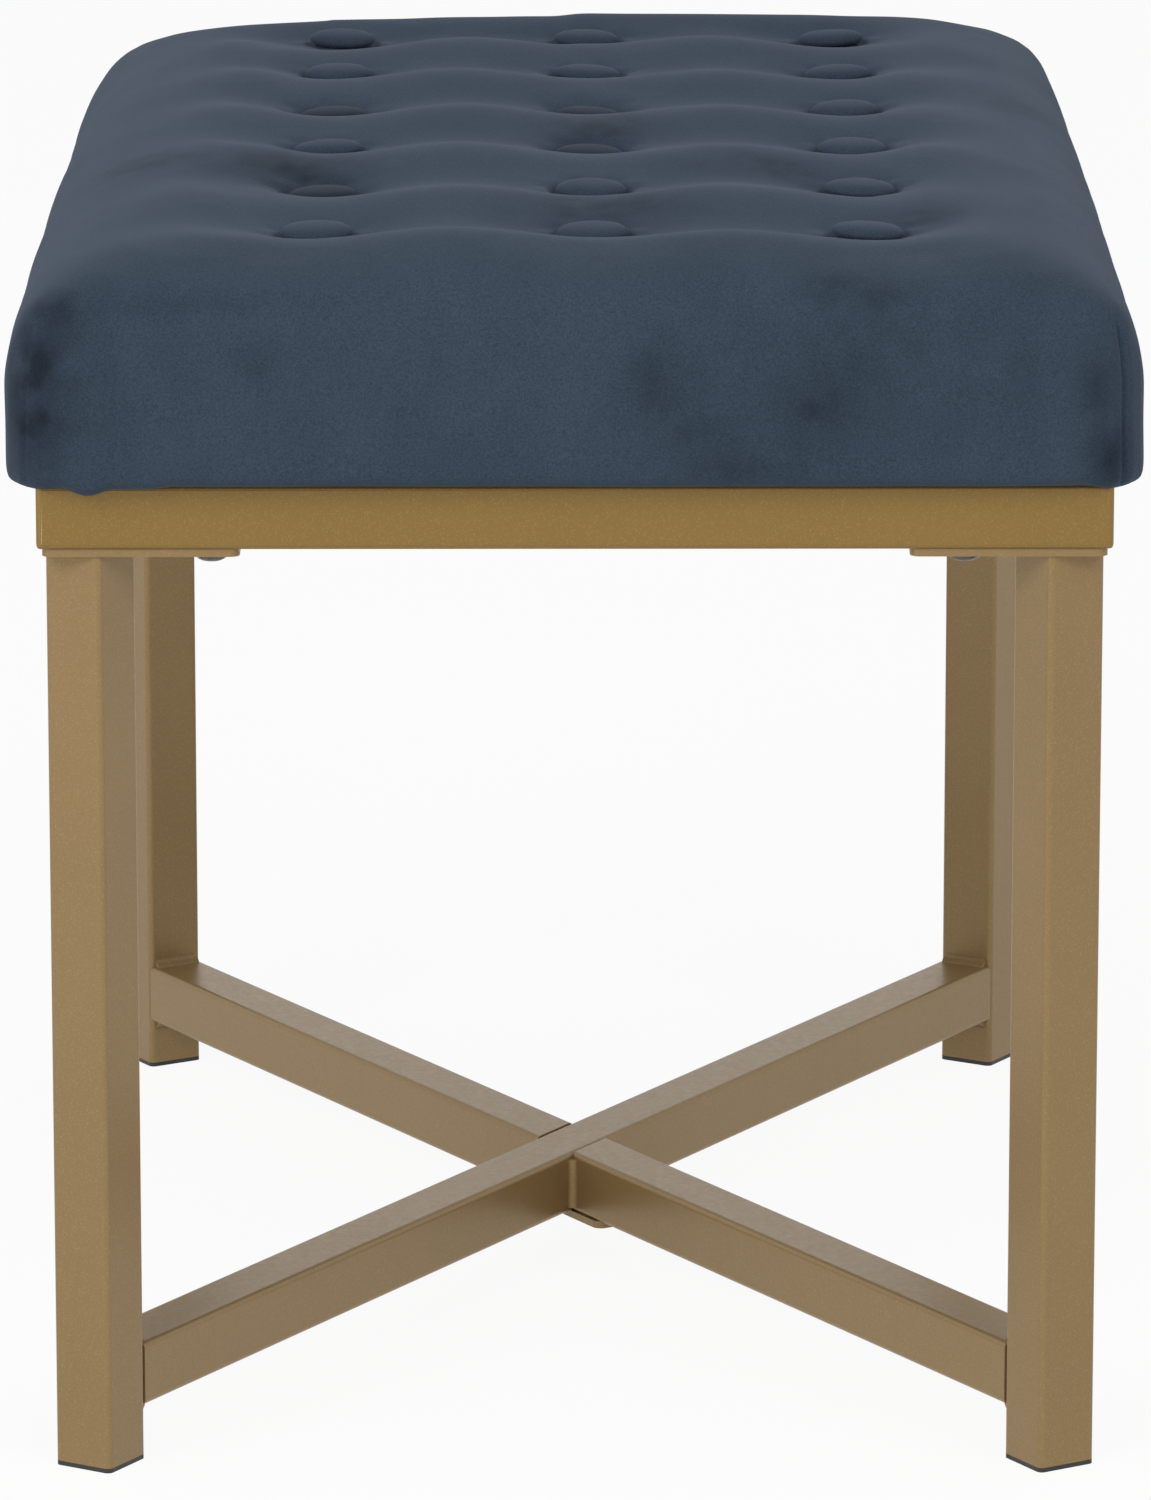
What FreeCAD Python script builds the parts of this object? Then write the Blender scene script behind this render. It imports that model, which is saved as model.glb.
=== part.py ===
import FreeCAD, Part
import math
import os

# Ottoman bench with a buttoned cushion on a welded steel base.
# Lengths are in millimetres, +Z is up, and the origin is on the floor under the middle.
# The short end that faces -Y is the front.

Vector = FreeCAD.Vector
origin = Vector(0, 0, 0)
along_x = Vector(1, 0, 0)
along_y = Vector(0, 1, 0)
along_z = Vector(0, 0, 1)

# Square steel tube used for the rails, the legs and the stretchers
tube_size = 25.4
tube_wall = 1.5
tube_corner_radius = 2.4

# Rail frame under the cushion
frame_width = 408.0
frame_length = 648.0
frame_underside = 366.0

# Corner plates on top of the legs
plate_side = 75.0
plate_thickness = 3.0
plate_corner_radius = 4.0
plate_inset = 2.0
long_bolt_reach = 66.0
short_bolt_reach = 56.0

# Legs and the crossed stretchers between them
leg_inset = 19.5
stretcher_underside = 21.0
crossing_plate_length = 82.0
crossing_plate_thickness = 3.0
crossing_plate_radius = 4.0
weld_leg = 3.6
plate_weld_leg = 3.0
weld_bulge_share = 0.58

# Plastic glides pushed into the feet
glide_flange = 1.8
glide_plug_height = 14.0
glide_fin_depth = 1.6
glide_fin_thickness = 1.2
glide_fin_pitch = 4.4
glide_fin_count = 2
glide_wall = 1.8
glide_fit = 0.1

# Button head bolts and the tee nuts that they run into
bolt_head_sides = 12
bore_sides = 8
bolt_radius = 4.0
bolt_length = 39.0
bolt_head_radius = 7.0
bolt_head_height = 4.4
bolt_crown_radius = 4.6
socket_across_flats = 5.0
socket_depth = 2.6
bolt_hole_clearance = 0.4
tee_nut_bore_clearance = 0.05
tee_nut_barrel_radius = 5.2
tee_nut_barrel_length = 9.0
tee_nut_flange_side = 18.0
tee_nut_flange_thickness = 1.4
tee_nut_fit = 0.15

# Seat board, foam block, cloth and dust cover
cloth_thickness = 0.8
board_thickness = 12.0
board_inset = 2.0
board_corner_radius = 26.0
foam_height = 61.0
foam_edge_chamfer = 14.0
cloth_turn_under = 40.0
dust_cover_thickness = 0.5
dust_cover_gap = 3.0
dust_cover_corner_radius = 12.0

# Outer form of the cushion
cushion_overhang = 13.5
cushion_corner_radius = 30.0
cushion_edge_height = 84.8
bulge_height = 32.6
bulge_radius = 90.0
hem_pull_in = 10.0
hem_rise = 3.6
shoulder_rise = 66.0
shoulder_run = 29.0
shoulder_radius = 25.0
end_face_angles = (8, 19)
end_shoulder_angles = (55, 28)
end_top_angle = 10
end_edge_height = 78.0
end_crown_rise = 6.6

# Tufting: low waves between the rows, and a pleated dimple under each button
tuft_sides = 12
button_rows = 6
button_columns = 3
button_pitch_x = 106.0
button_pitch_y = 97.8
button_offset_x = 6.8
row_height = 88.4
wave_height = 93.4
end_wave_height = 88.3
end_wave_edge_height = 81.5
end_wave_inset = 52.0
dimple_wall_radius = 18.0
dimple_wall_height = 83.2
dimple_mouth_radius = 44.0
dimple_mouth_height = 94.4

# Covered buttons with their twine
button_radius = 14.0
button_height = 4.6
button_rim_height = 1.4
button_rim_tuck = 1.2
button_dome_radius = 10.0
button_dome_height = 3.6
button_crown_radius = 4.0
button_back_radius = 11.5
button_back_thickness = 1.0
button_seat_height = 79.4
button_seat_clearance = 0.3
twine_sides = 6
twine_thickness = 1.6
twine_hole_radius = 1.4
anchor_side = 12.0
anchor_thickness = 1.2
anchor_pocket_depth = 1.5
anchor_fit = 0.3

# One overrun serves every cut, and edges this near to parallel count as parallel
overrun = 2.0
parallel_share = 1e-6

# Sizes that follow from the ones above
tube_half = tube_size / 2
tube_inner_half = tube_half - tube_wall
frame_half_x = frame_width / 2
frame_half_y = frame_length / 2
frame_top = frame_underside + tube_size
plate_underside = frame_underside - plate_thickness
leg_x = frame_half_x - leg_inset
leg_y = frame_half_y - leg_inset
diagonal_reach = math.hypot(leg_x, leg_y)
diagonal_angle = math.degrees(math.atan2(leg_y, leg_x))
stretcher_end = diagonal_reach - tube_half
stretcher_axis = stretcher_underside + tube_half
board_underside = frame_top + cloth_thickness
board_top = board_underside + board_thickness
board_half_x = frame_half_x - board_inset
board_half_y = frame_half_y - board_inset
foam_top = board_top + foam_height
cushion_half_x = frame_half_x + cushion_overhang
cushion_half_y = frame_half_y + cushion_overhang
button_seat = frame_top + button_seat_height
bead_length = tube_size - 2 * tube_corner_radius

# Each corner: the way from the middle, and the ways of its long and short bolt reach
corners = {
    "front_left": (Vector(-1, -1, 0), along_x, along_y),
    "front_right": (Vector(1, -1, 0), along_y, -along_x),
    "back_right": (Vector(1, 1, 0), -along_x, -along_y),
    "back_left": (Vector(-1, 1, 0), -along_y, along_x),
}


def block(low, high):
    """Box between two opposite corners."""
    size = high - low
    return Part.makeBox(size.x, size.y, size.z, low)


def centred_block(half_x, half_y, low, high):
    """Box over the origin, between two heights."""
    return block(Vector(-half_x, -half_y, low), Vector(half_x, half_y, high))


def rounded(solid, direction, radius):
    """The solid with its straight edges along one direction rounded."""
    edges = []
    for edge in solid.Edges:
        if edge.tangentAt(edge.FirstParameter).cross(direction).Length < parallel_share:
            edges.append(edge)
    return solid.makeFillet(radius, edges)


def faceted(side_count, rings, spot):
    """Upright solid through regular polygons, each given by its inner radius and its height."""
    loops = []
    for radius, height in rings:
        reach = radius / math.cos(math.pi / side_count)
        loop = []
        for step in range(side_count):
            angle = math.pi * (2 * step + 1) / side_count
            loop.append(spot + Vector(reach * math.cos(angle), reach * math.sin(angle), height))
        loops.append(loop + loop[:1])
    outlines = [loops[0], loops[-1]]
    for lower, upper in zip(loops, loops[1:]):
        for step in range(side_count):
            outlines.append([lower[step], lower[step + 1], upper[step + 1], upper[step], lower[step]])
    faces = [Part.Face(Part.makePolygon(outline)) for outline in outlines]
    return Part.makeSolid(Part.makeShell(faces))


def prism(side_count, radius, low, high, spot):
    """Upright prism on a regular polygon, given by its inner radius."""
    return faceted(side_count, [(radius, low), (radius, high)], spot)


def turned(solid, angle):
    """The solid turned about the upright axis through the origin."""
    copy = solid.copy()
    copy.rotate(origin, along_z, angle)
    return copy


def moved(solid, offset):
    """A copy of the solid at an offset."""
    copy = solid.copy()
    copy.translate(offset)
    return copy


def line(start, end):
    return Part.LineSegment(start, end).toShape()


def arc(start, middle, end):
    return Part.Arc(start, middle, end).toShape()


def square_tube(start, end):
    """Hollow tube along X, centred on its axis."""
    outer = block(Vector(start, -tube_half, -tube_half), Vector(end, tube_half, tube_half))
    inner = block(
        Vector(start - overrun, -tube_inner_half, -tube_inner_half),
        Vector(end + overrun, tube_inner_half, tube_inner_half),
    )
    return rounded(outer, along_x, tube_corner_radius).cut(inner)


def bolt_spots(corner):
    """Places of the two bolts of a corner, on the centre lines of its two rails."""
    outward, long_way, short_way = corners[corner]
    tip = Vector(outward.x * frame_half_x, outward.y * frame_half_y, 0)
    on_long_rail = tip + long_way * long_bolt_reach + short_way * tube_half
    on_short_rail = tip + short_way * short_bolt_reach + long_way * tube_half
    return [on_long_rail, on_short_rail]


def button_spots():
    """Places of the buttons in plan."""
    spots = []
    for row in range(button_rows):
        for column in range(button_columns):
            x = button_offset_x + (column - (button_columns - 1) / 2) * button_pitch_x
            y = (row - (button_rows - 1) / 2) * button_pitch_y
            spots.append(Vector(x, y, 0))
    return spots


all_bolt_spots = [spot for corner in corners for spot in bolt_spots(corner)]
hole_low = plate_underside - overrun
hole_high = frame_top + overrun
hole_radius = bolt_radius + bolt_hole_clearance
bolt_holes = Part.makeCompound(
    [prism(bore_sides, hole_radius, hole_low, hole_high, spot) for spot in all_bolt_spots]
)


def rail(half_along, half_across, angle):
    """Mitred rail on the -Y side of a frame, then turned to its own side."""
    across = -half_across + tube_half
    tube = moved(square_tube(-half_along, half_along), Vector(0, across, frame_underside + tube_half))
    mitre = [
        Vector(-half_along, -half_across, frame_underside),
        Vector(half_along, -half_across, frame_underside),
        Vector(half_along - tube_size, tube_size - half_across, frame_underside),
        Vector(tube_size - half_along, tube_size - half_across, frame_underside),
    ]
    mitre_prism = Part.Face(Part.makePolygon(mitre + mitre[:1])).extrude(along_z * tube_size)
    outline = centred_block(half_along, half_across, frame_underside, frame_top)
    outline = rounded(outline, along_z, tube_corner_radius)
    return turned(tube.common(mitre_prism).common(outline), angle).cut(bolt_holes)


def corner_plate(corner):
    """Flat plate under two rails, with a hole for each bolt."""
    outward = corners[corner][0]
    far = Vector(outward.x * (frame_half_x - plate_inset), outward.y * (frame_half_y - plate_inset), 0)
    near = far - outward * plate_side
    low = Vector(min(far.x, near.x), min(far.y, near.y), plate_underside)
    high = Vector(max(far.x, near.x), max(far.y, near.y), frame_underside)
    return rounded(block(low, high), along_z, plate_corner_radius).cut(bolt_holes)


def leg_place(solid, corner):
    """Turn a solid to the diagonal of its corner and move it to the leg's axis."""
    outward = corners[corner][0]
    angle = diagonal_angle * outward.x * outward.y
    return moved(turned(solid, angle), Vector(outward.x * leg_x, outward.y * leg_y, 0))


def leg(corner):
    """Upright tube with its sides along the diagonal, from the glide to the plate."""
    tube = square_tube(glide_flange, plate_underside)
    tube.rotate(origin, along_y, -90)
    return leg_place(tube, corner)


def foot_glide(corner):
    """Plug with a flat foot, a hollow core and fins that grip the tube."""
    foot = rounded(centred_block(tube_half, tube_half, 0, glide_flange), along_z, tube_corner_radius)
    top = glide_flange + glide_plug_height
    core_half = tube_inner_half - glide_fin_depth
    plug = centred_block(core_half, core_half, glide_flange, top)
    fin_half = tube_inner_half - glide_fit
    for number in range(glide_fin_count):
        low = top - number * glide_fin_pitch - 2 * glide_fin_thickness
        fin = centred_block(fin_half, fin_half, low, low + glide_fin_thickness)
        plug = plug.fuse(fin)
    hollow_half = core_half - glide_wall
    hollow = centred_block(hollow_half, hollow_half, glide_flange, top + overrun)
    return leg_place(foot.fuse(plug.cut(hollow)).removeSplitter(), corner)


def stretcher(start, end, angle):
    """Tube on a diagonal, at stretcher height."""
    tube = moved(square_tube(start, end), Vector(0, 0, stretcher_axis))
    return turned(tube, angle)


def half_stretcher(start, end):
    """Tube from a leg to the side of the through stretcher, cut to its slant."""
    through = block(
        Vector(-stretcher_end, -tube_half, stretcher_underside - overrun),
        Vector(stretcher_end, tube_half, stretcher_underside + tube_size + overrun),
    )
    return stretcher(start, end, -diagonal_angle).cut(turned(through, diagonal_angle))


def crossing_plate():
    """Flat plate welded under the crossing, flush with the two half stretchers."""
    half = crossing_plate_length / 2
    low = stretcher_underside - crossing_plate_thickness
    plate = centred_block(half, tube_half, low, stretcher_underside)
    return turned(rounded(plate, along_z, crossing_plate_radius), -diagonal_angle)


def bead(root, floor, wall, size, length):
    """Convex fillet weld along a corner line, between a floor face and a wall face."""
    run = floor.cross(wall)
    run.normalize()
    start = root - run * (length / 2)
    toe = start + floor * size
    top = start + wall * size
    bulge = start + (floor + wall) * (size * weld_bulge_share)
    outline = Part.Wire([line(start, toe), arc(toe, bulge, top), line(top, start)])
    return Part.Face(outline).extrude(run * length)


def inward_way(corner):
    """Level way from a leg's axis to the middle of the bench."""
    outward = corners[corner][0]
    way = Vector(-outward.x * leg_x, -outward.y * leg_y, 0)
    way.normalize()
    return way


def leg_face(corner, height):
    """Middle of a leg's inner face at a height."""
    outward = corners[corner][0]
    axis = Vector(outward.x * leg_x, outward.y * leg_y, height)
    return axis + inward_way(corner) * tube_half


def stretcher_welds():
    """A bead over and a bead under each stretcher end."""
    beads = []
    for corner in corners:
        inward = inward_way(corner)
        over = leg_face(corner, stretcher_underside + tube_size)
        under = leg_face(corner, stretcher_underside)
        beads.append(bead(over, inward, along_z, weld_leg, bead_length))
        beads.append(bead(under, inward, -along_z, weld_leg, bead_length))
    return beads


def plate_welds():
    """A bead under each plate, along the inner face of its leg."""
    beads = []
    for corner in corners:
        root = leg_face(corner, plate_underside)
        beads.append(bead(root, inward_way(corner), -along_z, plate_weld_leg, bead_length))
    return beads


def crossing_welds():
    """Upright beads in the four corners of the crossing."""
    beads = []
    first = inward_way("front_left")
    second = inward_way("front_right")
    half_angle = first.getAngle(second) / 2
    for side in (1, -1):
        acute = Vector(0, -side * tube_half / math.sin(half_angle), stretcher_axis)
        beads.append(bead(acute, -first * side, -second * side, weld_leg, bead_length))
        obtuse = Vector(side * tube_half / math.cos(half_angle), 0, stretcher_axis)
        beads.append(bead(obtuse, first * side, -second * side, weld_leg, bead_length))
    return beads


def rail_welds():
    """Upright beads in the inside corners of the rail frame."""
    beads = []
    for outward, long_way, short_way in corners.values():
        inner = Vector(
            outward.x * (frame_half_x - tube_size),
            outward.y * (frame_half_y - tube_size),
            frame_underside + tube_half,
        )
        beads.append(bead(inner, long_way, short_way, plate_weld_leg, bead_length))
    return beads


def leg_bolt(spot):
    """Button head bolt with a hexagon socket, head down."""
    low = plate_underside - bolt_head_height
    head = faceted(bolt_head_sides, [(bolt_crown_radius, low), (bolt_head_radius, plate_underside)], spot)
    shank = prism(bore_sides, bolt_radius, plate_underside, plate_underside + bolt_length, spot)
    socket = prism(6, socket_across_flats / 2, low - overrun, low + socket_depth, spot)
    return head.fuse(shank).cut(socket)


def tee_nut(spot):
    """Nut with a square flange, let into the top of the seat board."""
    bore = bolt_radius + tee_nut_bore_clearance
    flange_low = board_top - tee_nut_flange_thickness
    barrel_low = flange_low - tee_nut_barrel_length
    nut = prism(4, tee_nut_flange_side / 2, flange_low, board_top, spot)
    nut = nut.fuse(prism(bore_sides, tee_nut_barrel_radius, barrel_low, flange_low, spot))
    return nut.cut(prism(bore_sides, bore, barrel_low - overrun, board_top + overrun, spot))


def twine_hole(low, high, spot):
    """Narrow upright hole for a twine."""
    return prism(twine_sides, twine_hole_radius, low, high, spot)


def seat_board():
    """Plywood board with holes for the tee nuts, the bolts and the twine."""
    board = centred_block(board_half_x, board_half_y, board_underside, board_top)
    board = rounded(board, along_z, board_corner_radius)
    flange_low = board_top - tee_nut_flange_thickness
    flange_half = tee_nut_flange_side / 2 + tee_nut_fit
    barrel_hole = tee_nut_barrel_radius + tee_nut_fit
    for spot in all_bolt_spots:
        board = board.cut(prism(bore_sides, barrel_hole, board_underside - overrun, board_top, spot))
        board = board.cut(prism(4, flange_half, flange_low, board_top + overrun, spot))
    pocket_half = anchor_side / 2 + anchor_fit
    pocket_top = board_underside + anchor_pocket_depth
    for spot in button_spots():
        board = board.cut(twine_hole(board_underside, board_top + overrun, spot))
        board = board.cut(prism(4, pocket_half, board_underside - overrun, pocket_top, spot))
    return board


def foam_block():
    """Foam block cut to the board, with its top edge cut at a slant."""
    foam = centred_block(board_half_x, board_half_y, board_top, foam_top)
    foam = rounded(foam, along_z, board_corner_radius)
    top_edges = [edge for edge in foam.Edges if edge.BoundBox.ZMin > foam_top - overrun]
    return foam.makeChamfer(foam_edge_chamfer, top_edges)


def foam_pad():
    """The foam block with a hole for each twine."""
    foam = foam_block()
    holes = [twine_hole(board_top - overrun, foam_top + overrun, spot) for spot in button_spots()]
    return foam.cut(Part.makeCompound(holes))


def arc_leaving(start, heading, end):
    """Arc between two points that leaves the first along a heading, and its last heading."""
    chord = end - start
    half = chord.Length / 2
    chord.normalize()
    lean = heading + chord
    lean.normalize()
    middle = start + lean * (half / lean.dot(chord))
    return arc(start, middle, end), chord * (2 * chord.dot(heading)) - heading


def side_chain(side, y, half_width, low, top, size_share):
    """Hem, bulge and shoulder arcs of one side of a cushion section, from the bottom up."""
    bulge_level = low + bulge_height * size_share
    hem_height = low + hem_rise * size_share
    shoulder_low = low + (top - low) * (shoulder_rise / cushion_edge_height)
    sweep = math.asin((shoulder_low - bulge_level) / (bulge_radius * size_share))
    hem_sweep = math.asin((bulge_level - hem_height) / (bulge_radius * size_share))
    centre = half_width - bulge_radius * size_share
    hem_x = centre + bulge_radius * size_share * math.cos(hem_sweep)
    shoulder_x = centre + bulge_radius * size_share * math.cos(sweep)
    start = Vector(side * (half_width - hem_pull_in * size_share), y, low)
    hem = Vector(side * hem_x, y, hem_height)
    bulge = Vector(side * half_width, y, bulge_level)
    shoulder = Vector(side * shoulder_x, y, shoulder_low)
    edge_top = Vector(side * (half_width - shoulder_run * size_share), y, top)
    tangent = Vector(-side * math.sin(sweep), 0, math.cos(sweep))
    heading_back = Vector(-side * math.sin(hem_sweep), 0, -math.cos(hem_sweep))
    hem_arc = arc_leaving(hem, heading_back, start)[0]
    shoulder_arc = arc_leaving(shoulder, tangent, edge_top)[0]
    return [hem_arc, arc(hem, bulge, shoulder), shoulder_arc], start, edge_top


def cushion_section(y, half_width, low, edge_level, crown, size_share):
    """Closed outline of the cushion across its width, made of lines and arcs."""
    right, right_foot, right_top = side_chain(1, y, half_width, low, edge_level, size_share)
    left, left_foot, left_top = side_chain(-1, y, half_width, low, edge_level, size_share)
    over = arc(right_top, Vector(0, y, crown), left_top)
    return Part.Wire([line(left_foot, right_foot)] + right + [over] + left[::-1])


def end_sections(side):
    """Sections of one rounded end of the cushion, from its face inward."""
    sections = []
    bulge_level = frame_top + bulge_height
    edge_level = frame_top + end_edge_height
    for angle in end_face_angles:
        reach = bulge_radius * (1 - math.cos(math.radians(angle)))
        half_height = bulge_radius * math.sin(math.radians(angle))
        low = max(bulge_level - half_height, frame_top)
        sections.append((reach, low, bulge_level + half_height))
    last = math.radians(end_top_angle)
    for degrees in end_shoulder_angles + (end_top_angle,):
        angle = math.radians(degrees)
        reach = shoulder_run - shoulder_radius * (math.sin(angle) - math.sin(last))
        level = edge_level - shoulder_radius * (math.cos(last) - math.cos(angle))
        sections.append((reach, frame_top, level))
    wires = []
    for reach, low, level in sections:
        tuck = max(cushion_corner_radius - reach, 0)
        bend = math.sqrt(cushion_corner_radius ** 2 - tuck ** 2)
        half_width = cushion_half_x - cushion_corner_radius + bend
        size_share = (level - low) / cushion_edge_height
        crown = level + end_crown_rise * size_share
        y = side * (cushion_half_y - reach)
        wires.append(cushion_section(y, half_width, low, level, crown, size_share))
    return wires


def cushion_form():
    """Crowned outer form with low waves between the button rows, as one loft from end to end."""
    end_wave_y = cushion_half_y - end_wave_inset
    waves = [(-end_wave_y, end_wave_edge_height, end_wave_height)]
    for row in range(button_rows):
        y = (row - (button_rows - 1) / 2) * button_pitch_y
        if row:
            waves.append((y - button_pitch_y / 2, cushion_edge_height, wave_height))
        waves.append((y, cushion_edge_height, row_height))
    waves.append((end_wave_y, end_wave_edge_height, end_wave_height))
    wires = end_sections(-1)
    for y, edge_height, height in waves:
        edge_level = frame_top + edge_height
        wires.append(cushion_section(y, cushion_half_x, frame_top, edge_level, frame_top + height, 1))
    wires += end_sections(1)[::-1]
    return Part.makeLoft(wires, True, True)


def dimple(spot):
    """Tool for the pleated hollow that a button draws into the cover, with its flat seat."""
    rings = [
        (button_radius + button_seat_clearance, button_seat),
        (dimple_wall_radius, frame_top + dimple_wall_height),
        (dimple_mouth_radius, frame_top + dimple_mouth_height),
        (dimple_mouth_radius, frame_top + wave_height + overrun),
    ]
    return faceted(tuft_sides, rings, spot)


def velvet_cover():
    """Velvet with its wadding: tufted outside, open to the board and the foam inside."""
    cover = cushion_form()
    board = centred_block(board_half_x, board_half_y, board_underside, board_top)
    board = rounded(board, along_z, board_corner_radius)
    opening_x = board_half_x - cloth_turn_under
    opening_y = board_half_y - cloth_turn_under
    cut_low = frame_top - overrun
    cut_high = board_underside + overrun
    opening = centred_block(opening_x, opening_y, cut_low, cut_high)
    cover = cover.cut(board.fuse(foam_block()).removeSplitter()).cut(opening)
    for spot in all_bolt_spots:
        cover = cover.cut(prism(bore_sides, hole_radius, cut_low, cut_high, spot))
    for spot in button_spots():
        cover = cover.cut(dimple(spot))
        cover = cover.cut(twine_hole(foam_top - overrun, button_seat + overrun, spot))
    return cover


def button(spot):
    """Cloth-covered button: a low dome, tucked in under its rim."""
    base = button_seat + button_back_thickness
    rings = [
        (button_radius - button_rim_tuck, base),
        (button_radius, base + button_rim_height),
        (button_dome_radius, base + button_dome_height),
        (button_crown_radius, base + button_height),
    ]
    return faceted(tuft_sides, rings, spot)


def button_back(spot):
    """Metal back of a button, between the button and its seat in the cover."""
    return prism(bore_sides, button_back_radius, button_seat, button_seat + button_back_thickness, spot)


def twine(spot):
    """Tufting twine from the back of a button to its anchor under the board."""
    return prism(twine_sides, twine_thickness / 2, board_underside + anchor_pocket_depth, button_seat, spot)


def twine_anchor(spot):
    """Small square plate in the underside of the board that the twine is tied to."""
    high = board_underside + anchor_pocket_depth
    return prism(4, anchor_side / 2, high - anchor_thickness, high, spot)


def dust_cover():
    """Thin cloth over the underside, inside the rails."""
    half_x = frame_half_x - tube_size - dust_cover_gap
    half_y = frame_half_y - tube_size - dust_cover_gap
    sheet = centred_block(half_x, half_y, frame_top - dust_cover_thickness, frame_top)
    return rounded(sheet, along_z, dust_cover_corner_radius)


def group(solids):
    """Separate solids that share one node."""
    return Part.makeCompound(solids)


nodes = {
    "rail_front": rail(frame_half_x, frame_half_y, 0),
    "rail_right": rail(frame_half_y, frame_half_x, 90),
    "rail_back": rail(frame_half_x, frame_half_y, 180),
    "rail_left": rail(frame_half_y, frame_half_x, 270),
    "rail_corner_welds": group(rail_welds()),
    "stretcher_through": stretcher(-stretcher_end, stretcher_end, diagonal_angle),
    "stretcher_half_front": half_stretcher(0, stretcher_end),
    "stretcher_half_back": half_stretcher(-stretcher_end, 0),
    "crossing_plate": crossing_plate(),
    "crossing_welds": group(crossing_welds()),
    "stretcher_welds": group(stretcher_welds()),
    "plate_welds": group(plate_welds()),
    "leg_bolts": group([leg_bolt(spot) for spot in all_bolt_spots]),
    "tee_nuts": group([tee_nut(spot) for spot in all_bolt_spots]),
    "seat_board": seat_board(),
    "foam_pad": foam_pad(),
    "velvet_cover": velvet_cover(),
    "buttons": group([button(spot) for spot in button_spots()]),
    "button_backs": group([button_back(spot) for spot in button_spots()]),
    "tufting_twine": group([twine(spot) for spot in button_spots()]),
    "twine_anchors": group([twine_anchor(spot) for spot in button_spots()]),
    "dust_cover": dust_cover(),
}
for corner in corners:
    nodes["corner_plate_" + corner] = corner_plate(corner)
    nodes["leg_" + corner] = leg(corner)
    nodes["foot_glide_" + corner] = foot_glide(corner)

os.makedirs("parts", exist_ok=True)
for name, shape in nodes.items():
    shape.exportStep("parts/" + name + ".step")
    print(name, shape.isValid(), len(shape.Solids), round(shape.Volume / 1000, 2))
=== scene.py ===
import math

import bmesh
import bpy
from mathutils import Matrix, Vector, noise


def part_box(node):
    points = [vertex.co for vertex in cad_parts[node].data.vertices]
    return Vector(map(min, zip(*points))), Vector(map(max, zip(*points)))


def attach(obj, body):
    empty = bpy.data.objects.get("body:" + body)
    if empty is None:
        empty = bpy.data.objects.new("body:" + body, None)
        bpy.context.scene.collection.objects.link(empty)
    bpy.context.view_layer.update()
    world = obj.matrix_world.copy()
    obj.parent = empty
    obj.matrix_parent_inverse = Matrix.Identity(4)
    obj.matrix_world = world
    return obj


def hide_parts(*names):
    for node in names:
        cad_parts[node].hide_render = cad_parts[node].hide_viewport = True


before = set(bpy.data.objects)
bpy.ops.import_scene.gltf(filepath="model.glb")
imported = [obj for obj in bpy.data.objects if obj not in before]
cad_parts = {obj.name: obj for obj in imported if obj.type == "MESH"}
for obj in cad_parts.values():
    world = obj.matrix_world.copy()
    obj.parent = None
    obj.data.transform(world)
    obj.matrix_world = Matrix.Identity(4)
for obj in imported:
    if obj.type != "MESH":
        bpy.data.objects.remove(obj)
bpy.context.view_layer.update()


# The camera: a long lens in front of one short end, well above the seat, that looks down along the
# length of the bench.
camera_data = bpy.data.cameras.new("camera")
camera_data.sensor_width = 36
camera_data.lens = 225.2
camera_data.clip_end = 50
camera = bpy.data.objects.new("camera", camera_data)
camera.location = (-0.0111, -3.8, 1.095)
camera.rotation_euler = (math.radians(90 - 13.065), 0, math.radians(-0.186))
bpy.context.scene.collection.objects.link(camera)
bpy.context.scene.camera = camera


# The rail frame: four lengths of square steel tube, mitred at the corners, welded and ground flush.
# It is sprayed with a satin gold-bronze paint that holds a fine metal flake.
def add_node(tree, kind, inputs=None, **settings):
    made = tree.nodes.new("ShaderNode" + kind)
    for name, value in settings.items():
        setattr(made, name, value)
    for name, value in (inputs or {}).items():
        if isinstance(value, bpy.types.NodeSocket):
            tree.links.new(value, made.inputs[name])
        else:
            made.inputs[name].default_value = value
    return made


def add_material(name, colour, roughness, metallic=0.0):
    material = bpy.data.materials.new(name)
    material.use_nodes = True
    tree = material.node_tree
    surface = tree.nodes["Principled BSDF"]
    surface.inputs["Base Color"].default_value = (*colour, 1)
    surface.inputs["Roughness"].default_value = roughness
    surface.inputs["Metallic"].default_value = metallic
    return material, tree, surface, add_node(tree, "TexCoord").outputs["Object"]


def add_group(name, inputs, outputs):
    group = bpy.data.node_groups.new(name, "ShaderNodeTree")
    for label, kind in inputs:
        group.interface.new_socket(label, in_out="INPUT", socket_type="NodeSocket" + kind)
    for label, kind in outputs:
        group.interface.new_socket(label, in_out="OUTPUT", socket_type="NodeSocket" + kind)
    return group, group.nodes.new("NodeGroupInput"), group.nodes.new("NodeGroupOutput")


def dress(names, material):
    for name in names:
        for slot in bpy.data.objects[name].material_slots:
            slot.material = material


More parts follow.
